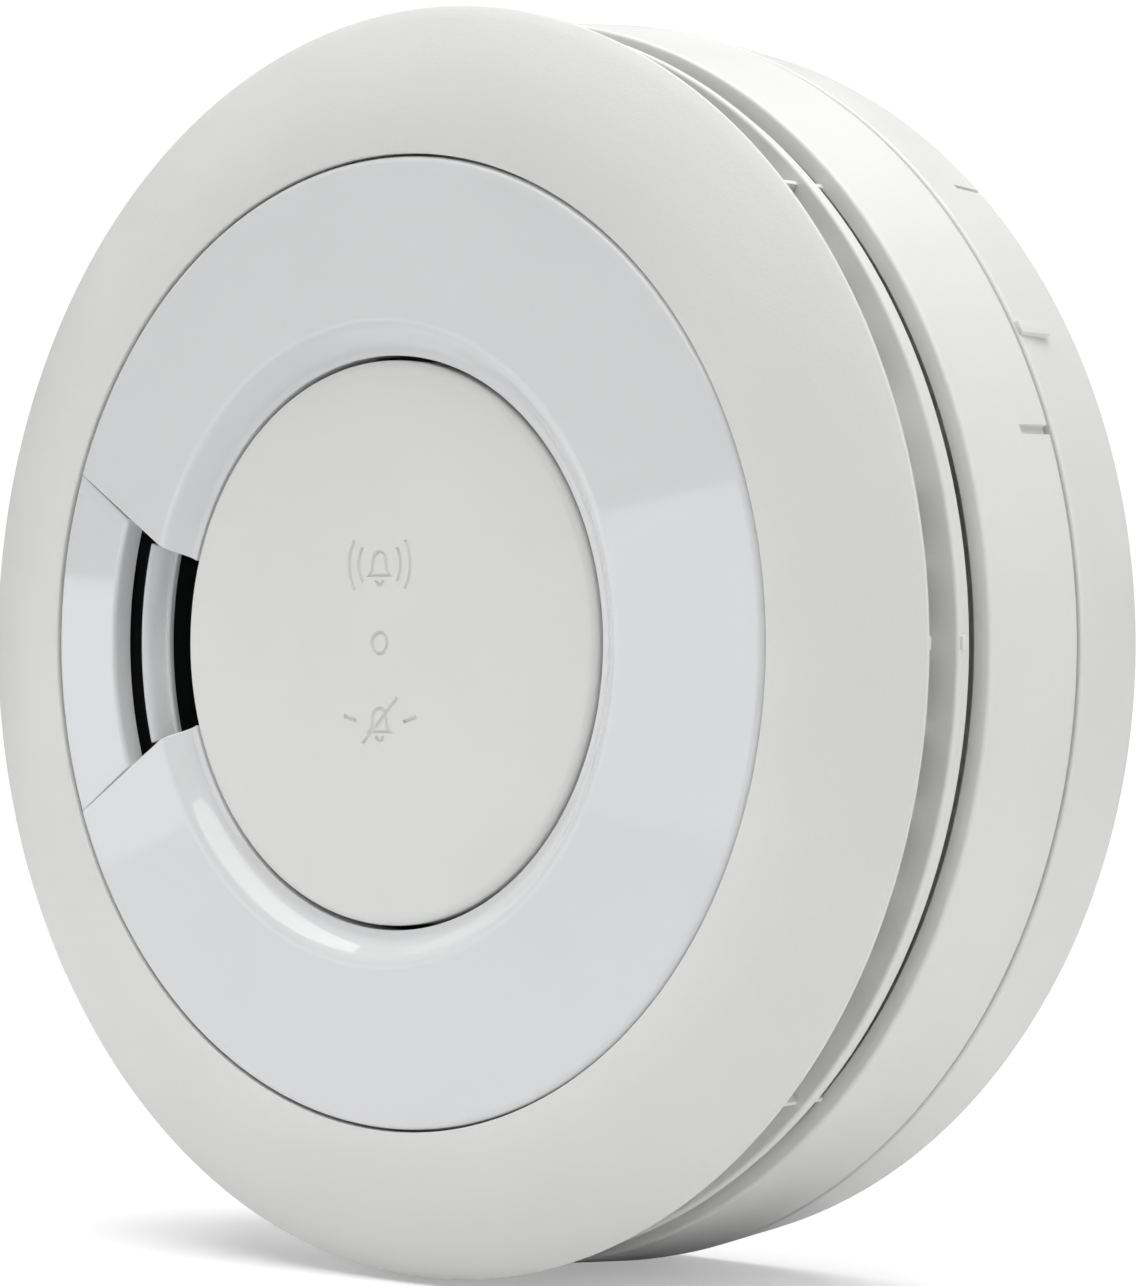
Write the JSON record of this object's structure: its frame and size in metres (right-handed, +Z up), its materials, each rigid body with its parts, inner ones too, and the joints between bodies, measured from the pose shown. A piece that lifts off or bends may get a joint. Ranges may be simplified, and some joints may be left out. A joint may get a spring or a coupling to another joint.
{
  "type": "smoke alarm",
  "caption": "Round white smoke alarm with a central test button, a horn slot and smoke inlets round its rim, twisted onto a wall plate.",
  "frame": {"origin": "centre of the mounting plate's back face, on the wall", "axes": "+Y out of the back, into the wall, along the axis of the round body; -Y out of the front, into the room; +Z up; +X to the right seen from the front"},
  "size_m": [0.1156, 0.037, 0.1156],
  "materials": {
    "plate_white": "fine matte moulded texture",
    "housing_white": "fine matte moulded texture",
    "cover_white": "fine spark-eroded texture",
    "gloss_white": "polished",
    "button_white": "satin",
    "label_grey": "satin film",
    "spring_steel": "drawn wire",
    "black_plastic": "matte moulded",
    "plunger_red": "satin",
    "brass": "rolled",
    "ceramic": "silvered ceramic",
    "screen_steel": "woven fine mesh",
    "dark_lens": "dark clear resin",
    "board_green": "solder mask",
    "tinned_steel": "tinned",
    "capacitor_sleeve": "shrink sleeve",
    "coil_ferrite": "ferrite",
    "led_red": "tinted resin",
    "clear_plastic": "clear moulded",
    "cell_sleeve": "plain shrink sleeve",
    "slider_red": "satin",
    "screw_steel": "zinc plated"
  },
  "bodies": {
    "plate": {"mounting_plate": "plate_white"},
    "head": {"battery_cell": "cell_sleeve", "battery_cradle": "housing_white", "battery_tab_negative": "tinned_steel", "battery_tab_positive": "tinned_steel", "boost_coil": "coil_ferrite", "button_carrier": "black_plastic", "capacitor_large": "capacitor_sleeve", "capacitor_small": "capacitor_sleeve", "case_screw_1": "screw_steel", "case_screw_2": "screw_steel", "case_screw_3": "screw_steel", "chamber_base": "black_plastic", "chamber_cap": "black_plastic", "circuit_board": "board_green", "front_cover": "cover_white", "horn_duct": "black_plastic", "horn_mouth": "gloss_white", "horn_throat": "gloss_white", "indicator_led": "led_red", "infrared_emitter": "dark_lens", "inlet_ring": "housing_white", "insect_screen": "screen_steel", "labyrinth_wall": "black_plastic", "light_pipe": "clear_plastic", "light_receiver": "dark_lens", "microcontroller": "black_plastic", "piezo_ceramic": "ceramic", "piezo_contact_inner": "brass", "piezo_contact_outer": "brass", "piezo_disc": "brass", "rating_label": "label_grey", "rear_housing": "housing_white", "shield_can": "tinned_steel", "slide_switch_body": "black_plastic", "sounder_housing": "black_plastic", "test_switch_body": "black_plastic", "trim_disc": "gloss_white"},
    "button": {"test_button": "button_white", "button_spring": "spring_steel"},
    "switch_plunger": {"test_switch_plunger": "plunger_red"},
    "slider": {"power_slider": "slider_red", "slide_switch_knob": "housing_white"}
  },
  "joints": [
    {"name": "head_twist", "type": "hinge", "parent": "plate", "child": "head", "pos_m": [0, 0, 0], "axis": [0, -1, 0], "range_deg": [0, 12]},
    {"name": "test_press", "type": "slide", "parent": "head", "child": "button", "axis": [0, 1, 0], "range_m": [0, 0.001], "stiffness_N_per_m": 1500, "deforming": ["button_spring"]},
    {"name": "switch_press", "type": "slide", "parent": "head", "child": "switch_plunger", "axis": [0, 1, 0], "range_m": [0, 0.0003]},
    {"name": "power_slide", "type": "slide", "parent": "head", "child": "slider", "axis": [0, 0, -1], "range_m": [0, 0.0076]}
  ],
  "couplings": [
    {"joint": "switch_press", "follows": "test_press", "ratio": 0.25},
    {"joint": "power_slide", "follows": "head_twist", "m_per_rad": 0.036}
  ]
}
